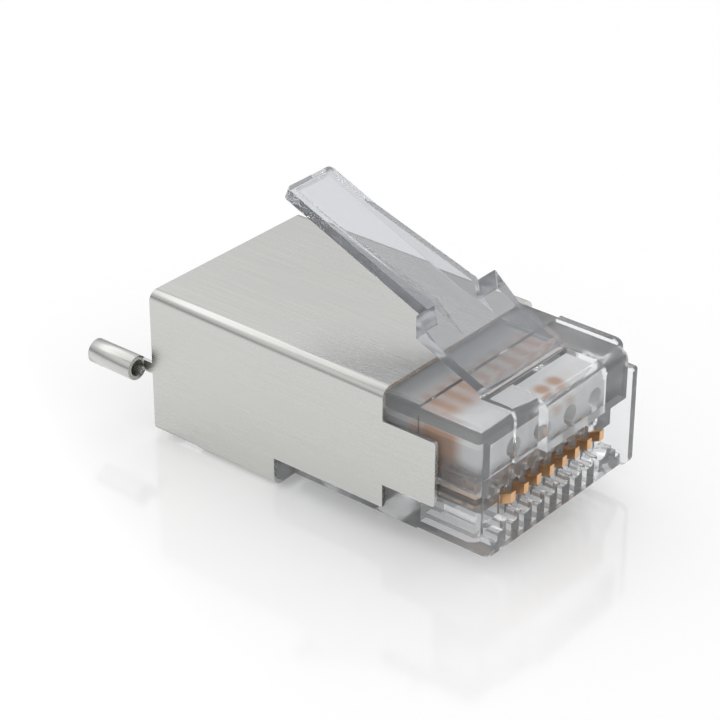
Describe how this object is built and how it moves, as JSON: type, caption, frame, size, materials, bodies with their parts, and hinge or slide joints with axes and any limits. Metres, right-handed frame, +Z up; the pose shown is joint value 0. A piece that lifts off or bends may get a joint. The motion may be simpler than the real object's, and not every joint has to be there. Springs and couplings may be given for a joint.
{
  "type": "rj45 modular plug",
  "caption": "Shielded modular plug: clear housing with a sprung latch, flat contacts in front slots, folded sheet shield and a drain-wire barrel.",
  "frame": {"origin": "on the plug's middle plane, at the centre of the underside of the shield band that the plug rests on", "axes": "+Z up to the latch side, +Y towards the cable entry, +X to the right when seen from the front"},
  "size_m": [0.0127, 0.0249, 0.014],
  "materials": {
    "clear_polycarbonate": "clear, polished mould",
    "frosted_polycarbonate": "clear, lightly frosted",
    "nickel_plated_sheet": "satin, brushed along the plug",
    "gold_plated_bronze": "satin"
  },
  "bodies": {
    "plug": {"housing": "clear_polycarbonate", "wire_guide": "frosted_polycarbonate", "shield": "nickel_plated_sheet", "contact_1": "gold_plated_bronze", "contact_2": "gold_plated_bronze", "contact_3": "gold_plated_bronze", "contact_4": "gold_plated_bronze", "contact_5": "gold_plated_bronze", "contact_6": "gold_plated_bronze", "contact_7": "gold_plated_bronze", "contact_8": "gold_plated_bronze"},
    "latch": {"latch": "clear_polycarbonate"}
  },
  "joints": [
    {"name": "latch_press", "type": "hinge", "parent": "plug", "child": "latch", "pos_m": [0, -0.01299, 0.00819], "axis": [-1, 0, 0], "range_deg": [0, 17], "stiffness_Nm_per_rad": 0.05}
  ]
}
